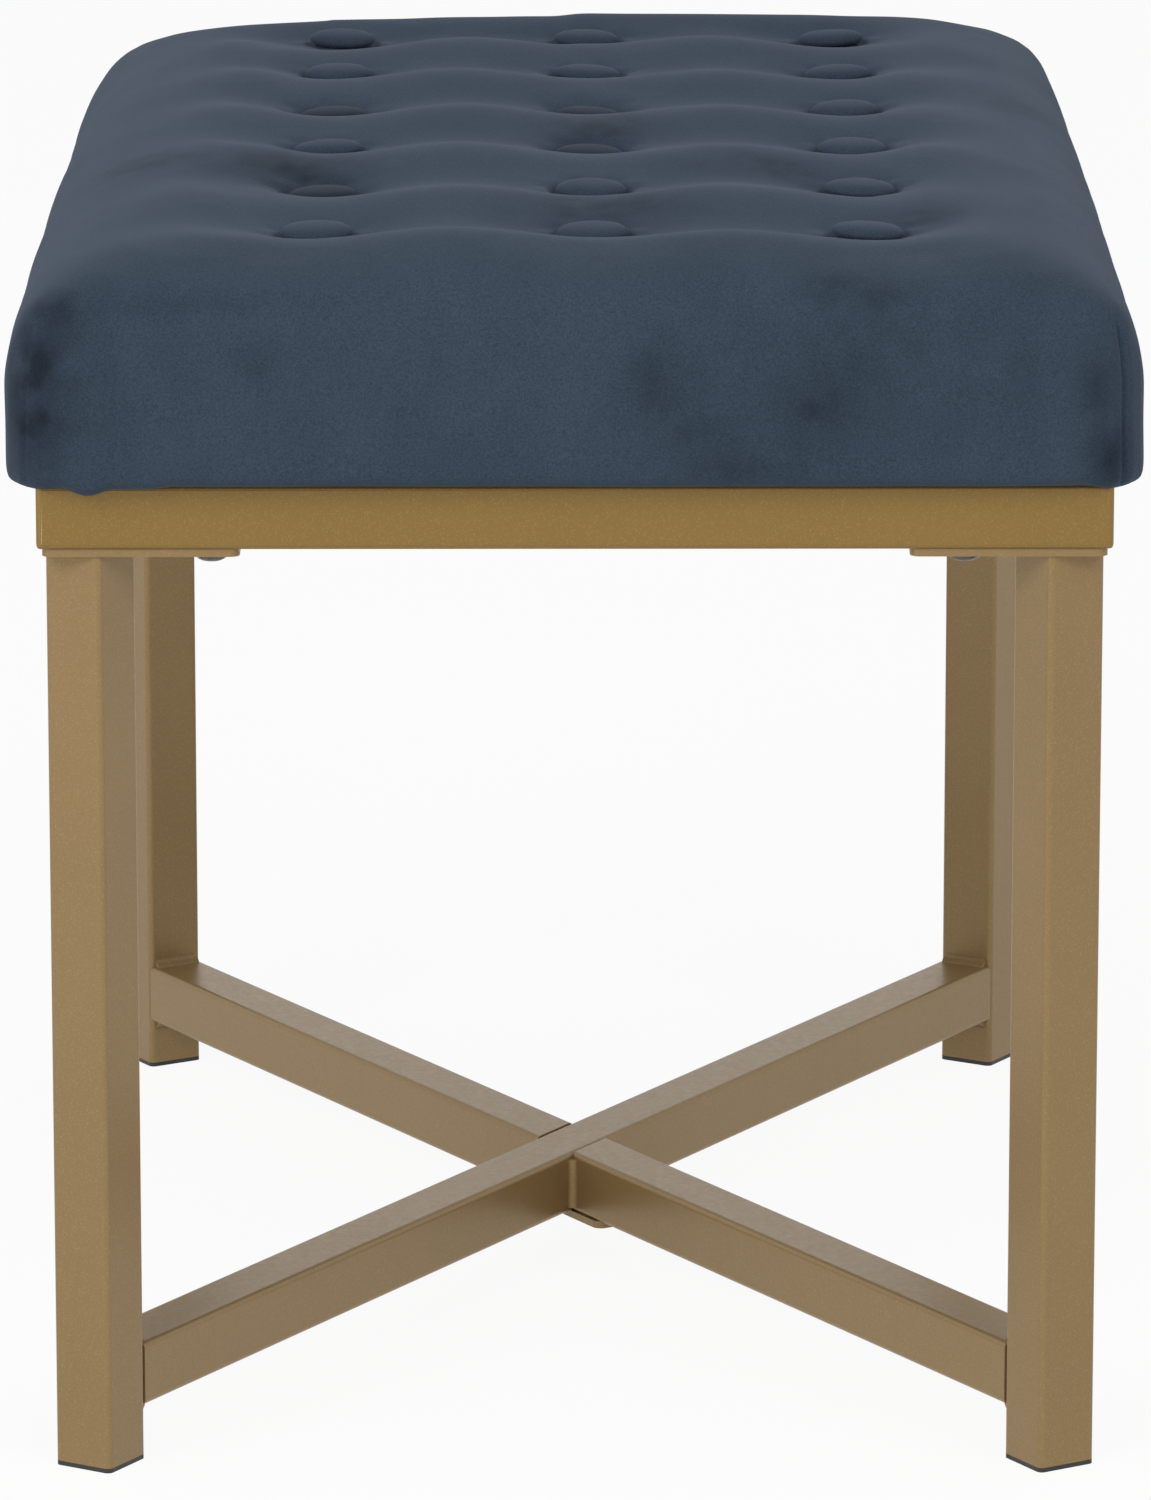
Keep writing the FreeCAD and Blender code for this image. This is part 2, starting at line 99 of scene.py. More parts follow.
fleck_group, fleck_in, fleck_out = add_group(
    "metal_fleck",
    [("Base", "Color"), ("Glint", "Color"), ("Scale", "Float"), ("Share", "Float"), ("Cloud", "Float")],
    [("Color", "Color"), ("Roughness", "Float"), ("Height", "Float")])
place = add_node(fleck_group, "TexCoord").outputs["Object"]
cells = add_node(fleck_group, "TexVoronoi", {"Vector": place, "Scale": fleck_in.outputs["Scale"]})
bright = add_node(fleck_group, "SeparateColor", {"Color": cells.outputs["Color"]})
flake = add_node(fleck_group, "Math", {0: bright.outputs["Red"], 1: fleck_in.outputs["Share"]},
                 operation="LESS_THAN")
cloud = add_node(fleck_group, "TexNoise", {"Vector": place, "Scale": 14.0, "Detail": 4.0, "Roughness": 0.6})
swing = add_node(fleck_group, "MapRange", {"Value": cloud.outputs["Fac"], "From Min": 0.25,
                                           "From Max": 0.75, "To Min": -1.0, "To Max": 1.0})
shade = add_node(fleck_group, "Math", {0: swing.outputs["Result"], 1: fleck_in.outputs["Cloud"], 2: 1.0},
                 operation="MULTIPLY_ADD")
tinted = add_node(fleck_group, "HueSaturation", {"Value": shade.outputs["Value"],
                                                 "Color": fleck_in.outputs["Base"]})
speckled = add_node(fleck_group, "Mix", {"Factor": flake.outputs["Value"], "A": tinted.outputs["Color"],
                                         "B": fleck_in.outputs["Glint"]}, data_type="RGBA")
orange_peel = add_node(fleck_group, "TexNoise", {"Vector": place, "Scale": 420.0, "Detail": 2.0})
sheen_map = add_node(fleck_group, "MapRange", {"Value": orange_peel.outputs["Fac"], "From Min": 0.3,
                                               "From Max": 0.7, "To Min": 0.30, "To Max": 0.40})
height = add_node(fleck_group, "Math", {0: bright.outputs["Green"], 1: 0.25, 2: orange_peel.outputs["Fac"]},
                  operation="MULTIPLY_ADD")
fleck_group.links.new(speckled.outputs["Result"], fleck_out.inputs["Color"])
fleck_group.links.new(sheen_map.outputs["Result"], fleck_out.inputs["Roughness"])
fleck_group.links.new(height.outputs["Value"], fleck_out.inputs["Height"])


def flecked_metal(name, base, glint, metallic, scale, share, cloud_share):
    material, tree, surface, _ = add_material(name, base, 0.35, metallic)
    fleck = tree.nodes.new("ShaderNodeGroup")
    fleck.node_tree = fleck_group
    fleck.inputs["Base"].default_value = (*base, 1)
    fleck.inputs["Glint"].default_value = (*glint, 1)
    fleck.inputs["Scale"].default_value = scale
    fleck.inputs["Share"].default_value = share
    fleck.inputs["Cloud"].default_value = cloud_share
    bump = add_node(tree, "Bump", {"Strength": 0.25, "Distance": 0.0001, "Height": fleck.outputs["Height"]})
    tree.links.new(fleck.outputs["Color"], surface.inputs["Base Color"])
    tree.links.new(fleck.outputs["Roughness"], surface.inputs["Roughness"])
    tree.links.new(bump.outputs["Normal"], surface.inputs["Normal"])
    return material, surface


rail_paint, surface = flecked_metal("rail_gold_paint", base=(0.242, 0.142, 0.029), glint=(0.29, 0.18, 0.045),
                                    metallic=0.4, scale=2600.0, share=0.12, cloud_share=0.03)
surface.inputs["Coat Weight"].default_value = 0.15
surface.inputs["Coat Roughness"].default_value = 0.25
dress(["rail_front", "rail_right", "rail_back", "rail_left", "rail_corner_welds"], rail_paint)


# The corner plates, the legs and the crossed stretchers: laser-cut plates and square tube cut to
# length, joined with small round weld beads. Their coat of the same paint is a shade greyer.
leg_paint, surface = flecked_metal("leg_bronze_paint", base=(0.280, 0.184, 0.079),
                                   glint=(0.325, 0.223, 0.104), metallic=0.28, scale=2600.0, share=0.12,
                                   cloud_share=0.03)
surface.inputs["Coat Weight"].default_value = 0.08
surface.inputs["Coat Roughness"].default_value = 0.2
surface.inputs["Specular IOR Level"].default_value = 0.28
corners = ["front_left", "front_right", "back_right", "back_left"]
dress(["corner_plate_" + corner for corner in corners], leg_paint)
dress(["leg_" + corner for corner in corners], leg_paint)
dress(["stretcher_through", "stretcher_half_front", "stretcher_half_back", "crossing_plate"], leg_paint)
dress(["crossing_welds", "stretcher_welds", "plate_welds"], leg_paint)


# The foot glides: moulded black plastic plugs pushed into the open leg ends, with a thin flange
# under the tube that stands on the floor.
glide_plastic, tree, surface, place = add_material("glide_plastic", (0.022, 0.021, 0.022), 0.55)
grain = add_node(tree, "TexNoise", {"Vector": place, "Scale": 1600.0, "Detail": 2.0})
scuff = add_node(tree, "TexNoise", {"Vector": place, "Scale": 90.0, "Detail": 5.0, "Roughness": 0.65})
dull = add_node(tree, "MapRange", {"Value": scuff.outputs["Fac"], "From Min": 0.35, "From Max": 0.7,
                                   "To Min": 0.42, "To Max": 0.7})
bump = add_node(tree, "Bump", {"Strength": 0.3, "Distance": 0.0001, "Height": grain.outputs["Fac"]})
tree.links.new(dull.outputs["Result"], surface.inputs["Roughness"])
tree.links.new(bump.outputs["Normal"], surface.inputs["Normal"])
dress(["foot_glide_" + corner for corner in corners], glide_plastic)


# The leg bolts: black zinc button-head socket screws that come up through the corner plates into
# tee nuts in the board, and hold the leg frame under the seat.
merge_gap = 0.00001


def linked(name, shape):
    mesh = bpy.data.meshes.new(name)
    shape.to_mesh(mesh)
    shape.free()
    made = bpy.data.objects.new(name, mesh)
    bpy.context.scene.collection.objects.link(made)
    return made


def finish_piece(piece, material, slot, *nodes):
    piece.data.materials.clear()
    piece.data.materials.append(material)
    piece.data.shade_smooth()
    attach(piece, "root")
    if nodes:
        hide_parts(*nodes)


def spun(shape, centre, outline, steps):
    points = [shape.verts.new((centre[0] + reach, centre[1], level)) for reach, level in outline]
    chain = [shape.edges.new(pair) for pair in zip(points, points[1:])]
    bmesh.ops.spin(shape, geom=points + chain, cent=(*centre, 0), axis=(0, 0, 1), angle=2 * math.pi,
                   steps=steps, use_merge=True)


def island_centres(name):
    loose = bmesh.new()
    loose.from_mesh(bpy.data.objects[name].data)
    bmesh.ops.remove_doubles(loose, verts=loose.verts, dist=merge_gap)
    left = set(loose.verts)
    centres = []
    while left:
        front = [left.pop()]
        island = list(front)
        while front:
            reached = {edge.other_vert(vertex) for vertex in front for edge in vertex.link_edges} & left
            left -= reached
            front = list(reached)
            island += front
        spots = [vertex.co for vertex in island]
        low = Vector([min(spot[axis] for spot in spots) for axis in range(3)])
        high = Vector([max(spot[axis] for spot in spots) for axis in range(3)])
        centres.append((low + high) / 2)
    loose.free()
    return sorted(centres, key=lambda centre: (round(centre.y, 4), round(centre.x, 4)))


zinc = flecked_metal("black_zinc", base=(0.12, 0.11, 0.10), glint=(0.18, 0.17, 0.15), metallic=1.0,
                     scale=900.0, share=0.2, cloud_share=0.08)[0]
bolt_low, bolt_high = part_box("leg_bolts")
bolt_height = bolt_high.z - bolt_low.z
point_bevel = 0.0008
socket_depth = 0.0026
bolt_steps = 24
bolt_outline = ((0.0029, 0.0012), (0.0040, 0.0013), (0.0052, 0.0019), (0.0062, 0.0028), (0.0069, 0.0038),
                (0.0070, 0.0044), (0.0040, 0.0045), (0.0040, bolt_height - point_bevel),
                (0.0033, bolt_height), (0.0, bolt_height))
bolts = bmesh.new()
for centre in island_centres("leg_bolts"):
    spun(bolts, centre.xy, [(reach, bolt_low.z + level) for reach, level in bolt_outline], bolt_steps)
bmesh.ops.remove_doubles(bolts, verts=bolts.verts, dist=merge_gap)
sockets = [edge for edge in bolts.edges if edge.is_boundary]
deep = bmesh.ops.extrude_edge_only(bolts, edges=sockets)["geom"]
for vertex in [part for part in deep if isinstance(part, bmesh.types.BMVert)]:
    vertex.co.z += socket_depth
bmesh.ops.holes_fill(bolts, edges=[edge for edge in bolts.edges if edge.is_boundary], sides=0)
bmesh.ops.recalc_face_normals(bolts, faces=bolts.faces)
plate_bolts = linked("plate_bolts", bolts)
finish_piece(plate_bolts, zinc, "bolt_steel", "leg_bolts")
crease = plate_bolts.modifiers.new("crease", "EDGE_SPLIT")
crease.split_angle = math.radians(40)
dress(["tee_nuts"], zinc)


# The seat board: a sheet of birch plywood with rounded corners, bolted down on the rails. It is
# hidden by the cover, and has its plies at the edge.
plywood, tree, surface, place = add_material("plywood", (0.72, 0.56, 0.38), 0.7)
stretched = add_node(tree, "Mapping", {"Vector": place, "Scale": (60.0, 3.0, 60.0)})
grain = add_node(tree, "TexNoise", {"Vector": stretched.outputs["Vector"], "Scale": 3.0, "Detail": 6.0})
tone = add_node(tree, "ValToRGB", {"Fac": grain.outputs["Fac"]})
tone.color_ramp.elements[0].color = (0.55, 0.38, 0.22, 1)
tone.color_ramp.elements[1].color = (0.80, 0.65, 0.45, 1)
plies = add_node(tree, "TexWave", {"Vector": place, "Scale": 130.0, "Distortion": 0.4}, bands_direction="Z")
ply_tone = add_node(tree, "Mix", {"Factor": plies.outputs["Fac"], "A": tone.outputs["Color"],
                                  "B": (0.42, 0.27, 0.14, 1)}, data_type="RGBA", blend_type="MULTIPLY")
tree.links.new(ply_tone.outputs["Result"], surface.inputs["Base Color"])
dress(["seat_board"], plywood)


# The tufting: three by six covered buttons, each tied down with nylon twine through the foam and
# the board to a small anchor plate. The twine is drawn tight by hand, so some sit deeper.
cushion_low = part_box("velvet_cover")[0].z
button_columns = (-0.0992, 0.0068, 0.1128)
row_pitch = 0.0978
button_sinks = ((0.0, 0.0002, 0.0), (0.0027, 0.0002, 0.0), (0.0002, 0.0026, 0.0), (0.0026, 0.0027, 0.0002),
                (0.0, 0.0003, 0.0005), (0.0003, 0.0004, 0.0003))
last_row = len(button_sinks) - 1
middle_row = last_row / 2
button_spots = [(x, row_pitch * (row - middle_row), sink) for row, sinks in enumerate(button_sinks)
                for x, sink in zip(button_columns, sinks)]
button_level = 0.0828
twine_nylon, tree, surface, place = add_material("nylon_twine", (0.85, 0.82, 0.74), 0.6)
lay = add_node(tree, "TexWave", {"Vector": place, "Scale": 400.0, "Distortion": 1.0}, bands_direction="Z")
strand = add_node(tree, "Mix", {"Factor": lay.outputs["Fac"], "A": (0.62, 0.58, 0.50, 1),
                                "B": (0.88, 0.86, 0.80, 1)}, data_type="RGBA")
bump = add_node(tree, "Bump", {"Strength": 0.6, "Distance": 0.0004, "Height": lay.outputs["Fac"]})
tree.links.new(strand.outputs["Result"], surface.inputs["Base Color"])
tree.links.new(bump.outputs["Normal"], surface.inputs["Normal"])
dress(["tufting_twine"], twine_nylon)
dress(["twine_anchors"], glide_plastic)
dress(["button_backs"], zinc)


# The foam: a block of open-cell foam under the wadding, its top edge trimmed at a slant and crushed
# where each button is tied down.
def ease(value):
    value = min(max(value, 0.0), 1.0)
    return value * value * (3 - 2 * value)


def nearest_button(x, y):
    return min((math.hypot(x - spot_x, y - spot_y), sink) for spot_x, spot_y, sink in button_spots)


foam_low, foam_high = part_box("foam_pad")
foam_side_inset = 0.003
foam_top_inset = 0.001
foam_foot_gap = 0.0002
side_trim_depth = 0.016
side_trim_run = 0.012
end_trim_depth = 0.020
end_trim_run = 0.016
crush_depth = 0.006
crush_reach = 0.022
foam_block = bmesh.new()
bmesh.ops.create_grid(foam_block, x_segments=60, y_segments=96, size=1)
for vertex in foam_block.verts:
    x = vertex.co.x * (foam_high.x - foam_side_inset)
    y = vertex.co.y * (foam_high.y - foam_side_inset)
    slant = side_trim_depth * math.exp(-(foam_high.x - abs(x)) / side_trim_run)
    slant += end_trim_depth * math.exp(-(foam_high.y - abs(y)) / end_trim_run)
    crush = crush_depth * math.exp(-(nearest_button(x, y)[0] / crush_reach) ** 2)
    vertex.co = (x, y, foam_high.z - foam_top_inset - slant - crush)
rim = [edge for edge in foam_block.edges if edge.is_boundary]
for part in bmesh.ops.extrude_edge_only(foam_block, edges=rim)["geom"]:
    if isinstance(part, bmesh.types.BMVert):
        part.co.z = foam_low.z + foam_foot_gap
bmesh.ops.holes_fill(foam_block, edges=[edge for edge in foam_block.edges if edge.is_boundary], sides=0)
bmesh.ops.recalc_face_normals(foam_block, faces=foam_block.faces)
foam_filling = linked("foam_filling", foam_block)
foam_cream, tree, surface, place = add_material("foam_cream", (0.86, 0.80, 0.62), 0.95)
pores = add_node(tree, "TexVoronoi", {"Vector": place, "Scale": 700.0})
aged = add_node(tree, "TexNoise", {"Vector": place, "Scale": 12.0, "Detail": 4.0})
cream = add_node(tree, "Mix", {"Factor": aged.outputs["Fac"], "A": (0.88, 0.83, 0.68, 1),
                               "B": (0.80, 0.70, 0.48, 1)}, data_type="RGBA")
bump = add_node(tree, "Bump", {"Strength": 0.6, "Distance": 0.0008, "Height": pores.outputs["Distance"]})
tree.links.new(cream.outputs["Result"], surface.inputs["Base Color"])
tree.links.new(bump.outputs["Normal"], surface.inputs["Normal"])
finish_piece(foam_filling, foam_cream, "foam", "foam_pad")


# The velvet cushion: a short-pile velvet cover over wadding, pulled down by the buttons, seamed at
# its four corners, and drawn round the edge of the board to be stapled underneath.
half_width = 0.2173
length_margin = 0.0004
half_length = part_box("velvet_cover")[1].y - length_margin
outline_radius = 0.030
corner_x = half_width - outline_radius
corner_y = half_length - outline_radius
front_fullness = 1.4
fullness_run = 0.1
squareness_of_corners = 1.25
back_left_rounding = 0.35
rounding_run = 0.2
column_pitch = 0.106
grid_step = 0.0027
crown_profile = ((0.0, 0.0395), (0.0004, 0.0425), (0.0014, 0.0480), (0.0028, 0.0530), (0.0046, 0.0590),
                 (0.0066, 0.0640), (0.0096, 0.0690), (0.0140, 0.0742), (0.0200, 0.0790), (0.0300, 0.0840),
                 (0.0440, 0.0880), (0.0600, 0.0908), (0.0850, 0.0931), (0.1400, 0.0942))
hem_profile = ((0.0000, 0.0330), (0.0000, 0.0130), (0.0002, 0.0075), (0.0006, 0.0038), (0.0014, 0.0014),
               (0.0030, 0.0002), (0.0060, 0.0000))
column_dip = 0.0046
front_dip_end = 0.095
back_dip_end = 0.055
column_dip_fade = 0.05
row_dip = 0.0064
row_dip_end = 0.190
row_dip_fade = 0.075
tuck_radius = 0.0125
tuck_run = 0.0065
tuck_power = 1.6
button_bed = 0.0024
hem_merge_gap = 0.00005
voxel = 0.005
held_rise = 0.004
held_radius = 0.0135
swell_steps = 20
swell_limit = 0.0015
averaging_passes = 6
tiny = 1e-6


def bake_modifiers(piece):
    graph = bpy.context.evaluated_depsgraph_get()
    mesh = bpy.data.meshes.new_from_object(piece.evaluated_get(graph))
    piece.modifiers.clear()
    old = piece.data
    piece.data = mesh
    bpy.data.meshes.remove(old)


def along(profile, reach):
    for (near, low), (far, high) in zip(profile, profile[1:]):
        if reach <= far:
            return low + (high - low) * (reach - near) / (far - near)
    return profile[-1][1]


def outline_inset(x, y):
    over_x = abs(x) - half_width + outline_radius
    over_y = abs(y) - half_length + outline_radius
    if over_x > 0 and over_y > 0:
        return outline_radius - math.hypot(over_x, over_y)
    return outline_radius - max(over_x, over_y)


def crown_level(x, y):
    side = max(half_width - abs(x), tiny)
    fullness = 1 + (front_fullness - 1) * ease(-y / fullness_run)
    end = max((half_length - abs(y)) * fullness, tiny)
    squareness = squareness_of_corners - (back_left_rounding if x < 0 else 0.0) * ease(y / rounding_run)
    corner = (side ** -squareness + end ** -squareness) ** (-1 / squareness)
    return along(crown_profile, max(min(corner, outline_inset(x, y) * fullness), 0))


def wave(distance, pitch):
    return 0.5 + 0.5 * math.cos(math.pi * min(distance / (pitch / 2), 1))


def tufted_level(x, y):
    level = crown_level(x, y)
    row = min(max(round(y / row_pitch + middle_row), 0), last_row)
    past_rows = max(abs(y) - middle_row * row_pitch, 0)
    over_column = max(wave(abs(x - column), column_pitch) for column in button_columns)
    over_row = wave(abs(y - row_pitch * (row - middle_row)), row_pitch)
    column_dip_end = front_dip_end if y < 0 else back_dip_end
    level -= column_dip * over_column * ease((column_dip_end - past_rows) / column_dip_fade)
    level -= row_dip * over_row * ease((row_dip_end - abs(x)) / row_dip_fade)
    near, sink = nearest_button(x, y)
    tuck = math.exp(-(max(near - tuck_radius, 0) / tuck_run) ** tuck_power)
    return level + tuck * (button_level - button_bed - sink - level)


cushion = bmesh.new()
bmesh.ops.create_grid(cushion, x_segments=round(2 * half_width / grid_step),
                      y_segments=round(2 * half_length / grid_step), size=1)
for vertex in cushion.verts:
    x = vertex.co.x * half_width
    y = vertex.co.y * half_length
    inset = outline_inset(x, y)
    if inset < 0:
        middle = Vector((math.copysign(corner_x, x), math.copysign(corner_y, y)))
        x, y = middle + (Vector((x, y)) - middle) * outline_radius / (outline_radius - inset)
    vertex.co = (x, y, cushion_low + tufted_level(x, y))
rim = [edge for edge in cushion.edges if edge.is_boundary]
for inset, level in hem_profile:
    grown = bmesh.ops.extrude_edge_only(cushion, edges=rim)["geom"]
    rim = [part for part in grown if isinstance(part, bmesh.types.BMEdge)]
    for vertex in {vertex for edge in rim for vertex in edge.verts}:
        spot = vertex.co.xy
        middle = Vector((min(max(spot.x, -corner_x), corner_x), min(max(spot.y, -corner_y), corner_y)))
        spot = middle + (spot - middle).normalized() * (outline_radius - inset)
        vertex.co = (*spot, cushion_low + level)
bmesh.ops.remove_doubles(cushion, verts=cushion.verts, dist=hem_merge_gap)
bmesh.ops.holes_fill(cushion, edges=[edge for edge in cushion.edges if edge.is_boundary], sides=0)
bmesh.ops.recalc_face_normals(cushion, faces=cushion.faces)
velvet_cushion = linked("velvet_cushion", cushion)
even = velvet_cushion.modifiers.new("even", "REMESH")
even.mode = "VOXEL"
even.voxel_size = voxel
bake_modifiers(velvet_cushion)

resting = [vertex.co.copy() for vertex in velvet_cushion.data.vertices]
held = velvet_cushion.vertex_groups.new(name="held")
held.add([index for index, spot in enumerate(resting)
          if spot.z < cushion_low + held_rise or nearest_button(spot.x, spot.y)[0] < held_radius],
         1.0, "REPLACE")
swell = velvet_cushion.modifiers.new("swell", "CLOTH")
swell.settings.quality = 5
swell.settings.vertex_group_mass = "held"
swell.settings.use_pressure = True
swell.settings.uniform_pressure_force = 4
swell.settings.effector_weights.gravity = 0
swell.settings.shrink_min = 0.01
swell.settings.bending_stiffness = 2.0
swell.point_cache.frame_start = 1
swell.point_cache.frame_end = swell_steps
for step in range(1, swell_steps + 1):
    bpy.context.scene.frame_set(step)
    bpy.context.view_layer.update()
bake_modifiers(velvet_cushion)
bpy.context.scene.frame_set(1)
moves = [vertex.co - before for vertex, before in zip(velvet_cushion.data.vertices, resting)]
moves = [move * min(1, swell_limit / max(move.length, tiny)) for move in moves]
edges = [tuple(edge.vertices) for edge in velvet_cushion.data.edges]
for _ in range(averaging_passes):
    totals = [move.copy() for move in moves]
    counts = [1] * len(moves)
    for first, second in edges:
        totals[first] += moves[second]
        totals[second] += moves[first]
        counts[first] += 1
        counts[second] += 1
    moves = [total / count for total, count in zip(totals, counts)]
for vertex, before, move in zip(velvet_cushion.data.vertices, resting, moves):
    vertex.co = before + move
finer = velvet_cushion.modifiers.new("finer", "SUBSURF")
finer.levels = 1
finer.render_levels = 1
bake_modifiers(velvet_cushion)

seam_run = outline_radius * math.pi / 4
seam_top = 0.070
seam_start = 0.002
no_seam = 1.0
fine_seam_reach = 0.006
fine_button_reach = 0.024
top_rise = 0.05


def seam_distance(spot):
    over = Vector((abs(spot.x) - corner_x, abs(spot.y) - corner_y))
    if over.x < seam_start or over.y < seam_start or spot.z > cushion_low + seam_top:
        return no_seam
    return abs(outline_radius * math.atan2(over.y, over.x) - seam_run)


def fine_work(spot):
    near = nearest_button(spot.x, spot.y)[0]
    by_button = near < fine_button_reach and spot.z > cushion_low + top_rise
    return seam_distance(spot) < fine_seam_reach or by_button


nap_marks = (
    ((-0.196, -0.330, 0.067), 0.013, 0.6, 0.013), ((-0.204, -0.330, 0.050), 0.012, 0.75, 0.022),
    ((-0.207, -0.328, 0.025), 0.012, 0.8, 0.024), ((-0.188, -0.335, 0.034), 0.020, 0.24, 0.034),
    ((-0.150, -0.332, 0.070), 0.045, 0.25, 0.005), ((-0.120, -0.337, 0.050), 0.010, 0.3, 0.010),
    ((0.031, -0.337, 0.040), 0.016, 0.38, 0.022), ((0.048, -0.337, 0.018), 0.016, 0.26, 0.014),
    ((0.089, -0.337, 0.030), 0.009, 0.6, 0.006), ((0.096, -0.337, 0.038), 0.018, 0.26, 0.020),
    ((0.061, -0.337, 0.009), 0.012, 0.4, 0.008), ((0.080, -0.337, 0.012), 0.011, 0.28, 0.012),
    ((0.101, -0.322, 0.074), 0.015, 0.36, 0.012), ((0.122, -0.330, 0.069), 0.014, 0.3, 0.014),
    ((0.130, -0.337, 0.050), 0.075, 0.18, 0.032), ((0.197, -0.334, 0.038), 0.009, 0.6, 0.010),
    ((0.201, -0.333, 0.013), 0.010, 0.9, 0.012), ((0.010, -0.213, 0.085), 0.036, 0.60, 0.018),
    ((-0.112, -0.120, 0.085), 0.030, 0.85, 0.016), ((0.080, -0.122, 0.088), 0.028, 0.55, 0.018),
    ((0.135, -0.225, 0.088), 0.016, 0.7, 0.022), ((-0.172, -0.112, 0.083), 0.024, 0.6, 0.030),
    ((-0.030, -0.070, 0.088), 0.014, 0.5, 0.012), ((0.185, 0.060, 0.080), 0.014, 0.6, 0.020),
    ((0.012, -0.018, 0.085), 0.026, 0.7, 0.014),
)
mark_reach = 2.5
mark_falloff = 1.2
tear_scale = 90
tear_level = 0.85
tear_swing = 0.6


def nap_mark(spot):
    total = 0.0
    for (x, y, rise), width, strength, length in nap_marks:
        away = Vector(((spot.x - x) / width, (spot.y - y) / max(width, length),
                       (spot.z - cushion_low - rise) / length))
        if away.length < mark_reach:
            torn = tear_level + tear_swing * noise.fractal(spot * tear_scale, 1.0, 2.0, 3)
            total += strength * math.exp(-away.length_squared * mark_falloff) * torn
    return min(max(total, 0.0), 1.0)


flat_rise_limit = 0.0003
flat_inset = 0.03


def lies_flat(spot):
    return spot.z < cushion_low + flat_rise_limit and outline_inset(spot.x, spot.y) > flat_inset


cushion = bmesh.new()
cushion.from_mesh(velvet_cushion.data)
flat_faces = [face for face in cushion.faces if all(lies_flat(vertex.co) for vertex in face.verts)]
bmesh.ops.dissolve_faces(cushion, faces=flat_faces, use_verts=True)
bmesh.ops.subdivide_edges(cushion, edges=[edge for edge in cushion.edges if all(
    fine_work(vertex.co) for vertex in edge.verts)], cuts=1, use_grid_fill=True)

left_lean = 0.0080
left_lean_start = 0.10
left_lean_run = 0.36
right_lean = 0.0015
right_lean_start = 0.10
right_lean_run = 0.2
lean_foot = 0.030
lean_height = 0.040
lean_power = 4


def side_lean(spot, rise):
    if spot.x < 0:
        lean = left_lean * ease((spot.y + left_lean_start) / left_lean_run)
    else:
        lean = right_lean * ease((spot.y - right_lean_start) / right_lean_run)
    return lean * (ease((rise - lean_foot) / lean_height) * abs(spot.x / half_width) ** lean_power)


left_seam_depth = 0.0005
right_seam_depth = 0.0018
seam_width = 0.0013
seam_fade = 0.014
puff_place = 0.0048
puff_width = 0.0026
puff_fade = 0.02
puff_share = 0.2
seam_foot = 0.006
corner_margin = 0.001


def seam_pull(spot, rise):
    away = seam_distance(spot)
    depth = left_seam_depth if spot.x < 0 else right_seam_depth
    seam = math.exp(-(away / seam_width) ** 2) * ease((seam_top - rise) / seam_fade)
    puff = math.exp(-((away - puff_place) / puff_width) ** 2) * ease((seam_top - rise) / puff_fade)
    return (depth * seam - puff_share * depth * puff), ease(rise / seam_foot)


tuft_reach = 0.030
crease_radius = 0.0146
crease_width = 0.0017
crease_depth = 0.0022
crease_all_round = 0.35
crease_at_sides = 0.75
pleat_count = 7
pleat_turn = 40
pleat_radius = 0.019
pleat_width = 0.004
pleat_depth = 0.00035


def tuft_folds(spot, near):
    column, row = min(((x, y) for x, y, _ in button_spots), key=lambda at: math.dist(at, spot.xy))
    turn = math.atan2(spot.y - row, spot.x - column)
    crease = math.exp(-((near - crease_radius) / crease_width) ** 2)
    crease *= crease_all_round + crease_at_sides * math.cos(turn) ** 2
    pleat = math.sin(pleat_count * turn + pleat_turn * row)
    pleat *= math.exp(-((near - pleat_radius) / pleat_width) ** 2)
    return crease_depth * crease + pleat_depth * pleat


calm_rise = 0.001
calm_rise_run = 0.012
calm_radius = 0.014
calm_radius_run = 0.02
long_swell, long_across, long_up = 0.0011, 11, 16
short_swell, short_across, short_up, short_shift = 0.0003, 34, 20, 7


def soft_surface(spot, rise, near):
    free = ease((rise - calm_rise) / calm_rise_run) * ease((near - calm_radius) / calm_radius_run)
    long_place = Vector((spot.x * long_across, spot.y * long_across, spot.z * long_up))
    short_place = Vector((spot.x * short_across + short_shift, spot.y * short_across, spot.z * short_up))
    soft = noise.noise(long_place) * long_swell
    soft += noise.noise(short_place) * short_swell
    return soft, free


hem_drop = 0.0026
hem_ripple, hem_ripple_scale, hem_ripple_slice = 0.0006, 18, 3.0
hem_edge = 0.0112
hem_edge_run = 0.0015
hem_height = 0.018
side_lobe, side_lobe_x, side_lobe_run = 0.9, 0.192, 0.012
front_lobe, front_lobe_x, front_lobe_run = 1.4, -0.184, 0.013
front_shelf, front_shelf_x, front_shelf_run = 0.4, -0.152, 0.008
corner_lobe, corner_lobe_start, corner_lobe_run = 0.6, 0.006, 0.015
corner_lobe_x, corner_lobe_x_run = 0.19, 0.02


def hem_hang(spot, rise):
    lobe = side_lobe * ease((abs(spot.x) - side_lobe_x) / side_lobe_run)
    if spot.y < 0:
        lobe = max(lobe, front_lobe * ease(1 - abs(spot.x - front_lobe_x) / front_lobe_run),
                   front_shelf * ease((front_shelf_x - spot.x) / front_shelf_run))
    by_end = ease((abs(spot.y) - corner_y + corner_lobe_start) / corner_lobe_run)
    lobe = max(lobe, corner_lobe * by_end * ease((abs(spot.x) - corner_lobe_x) / corner_lobe_x_run))
    hang = ease((hem_edge - outline_inset(spot.x, spot.y)) / hem_edge_run)
    hang *= ease((hem_height - rise) / hem_height)
    ripple_place = Vector((spot.x * hem_ripple_scale, spot.y * hem_ripple_scale, hem_ripple_slice))
    ripple = 0.5 + 0.5 * noise.noise(ripple_place)
    return hang * (hem_drop * lobe + hem_ripple * ripple)


